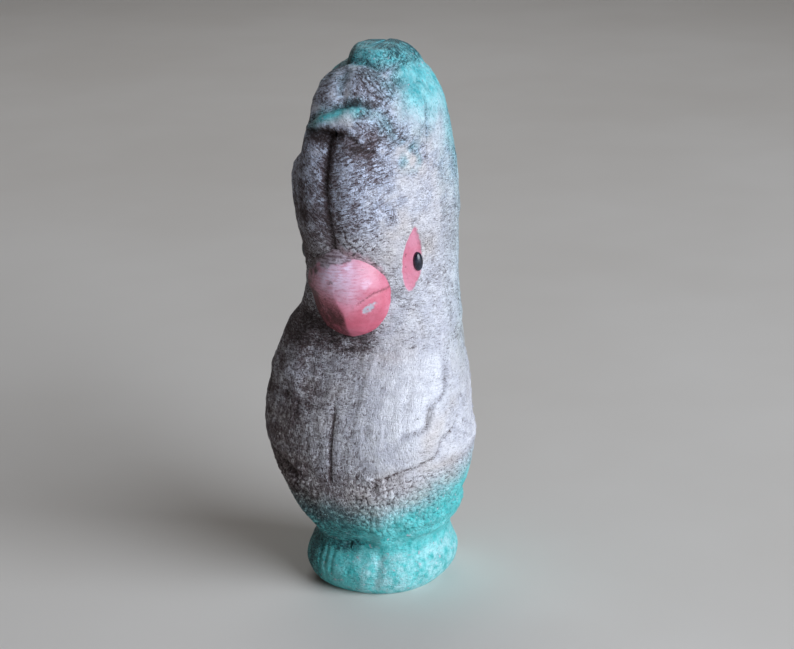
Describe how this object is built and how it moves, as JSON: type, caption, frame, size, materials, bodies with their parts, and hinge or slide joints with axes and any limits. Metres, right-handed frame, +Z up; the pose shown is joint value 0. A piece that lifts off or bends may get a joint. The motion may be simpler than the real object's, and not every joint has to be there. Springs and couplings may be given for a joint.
{
  "type": "chalkware figure",
  "caption": "Free-standing hollow plaster figure of a crested parrot on a round foot, press-moulded in halves, with a set-on beak and glossy eyes.",
  "frame": {"origin": "on the floor plane at the centre of the plug in the foot", "axes": "+Z up, the bird faces -Y, its left side is +X, the mould seam lies in the plane X = 0"},
  "size_m": [0.0692, 0.0682, 0.18],
  "materials": {
    "painted_plaster": "matt aged off-white paint with turquoise shading, dirt in the feather lines",
    "raw_plaster": "matt bare plaster",
    "pink_plaster": "worn satin pink paint",
    "eye_gloss": "glossy black"
  },
  "bodies": {
    "root": {"left_shell": "painted_plaster", "right_shell": "painted_plaster", "seam_slip": "raw_plaster", "base_plug": "raw_plaster", "beak": "pink_plaster", "left_eye": "eye_gloss", "right_eye": "eye_gloss"}
  },
  "joints": []
}
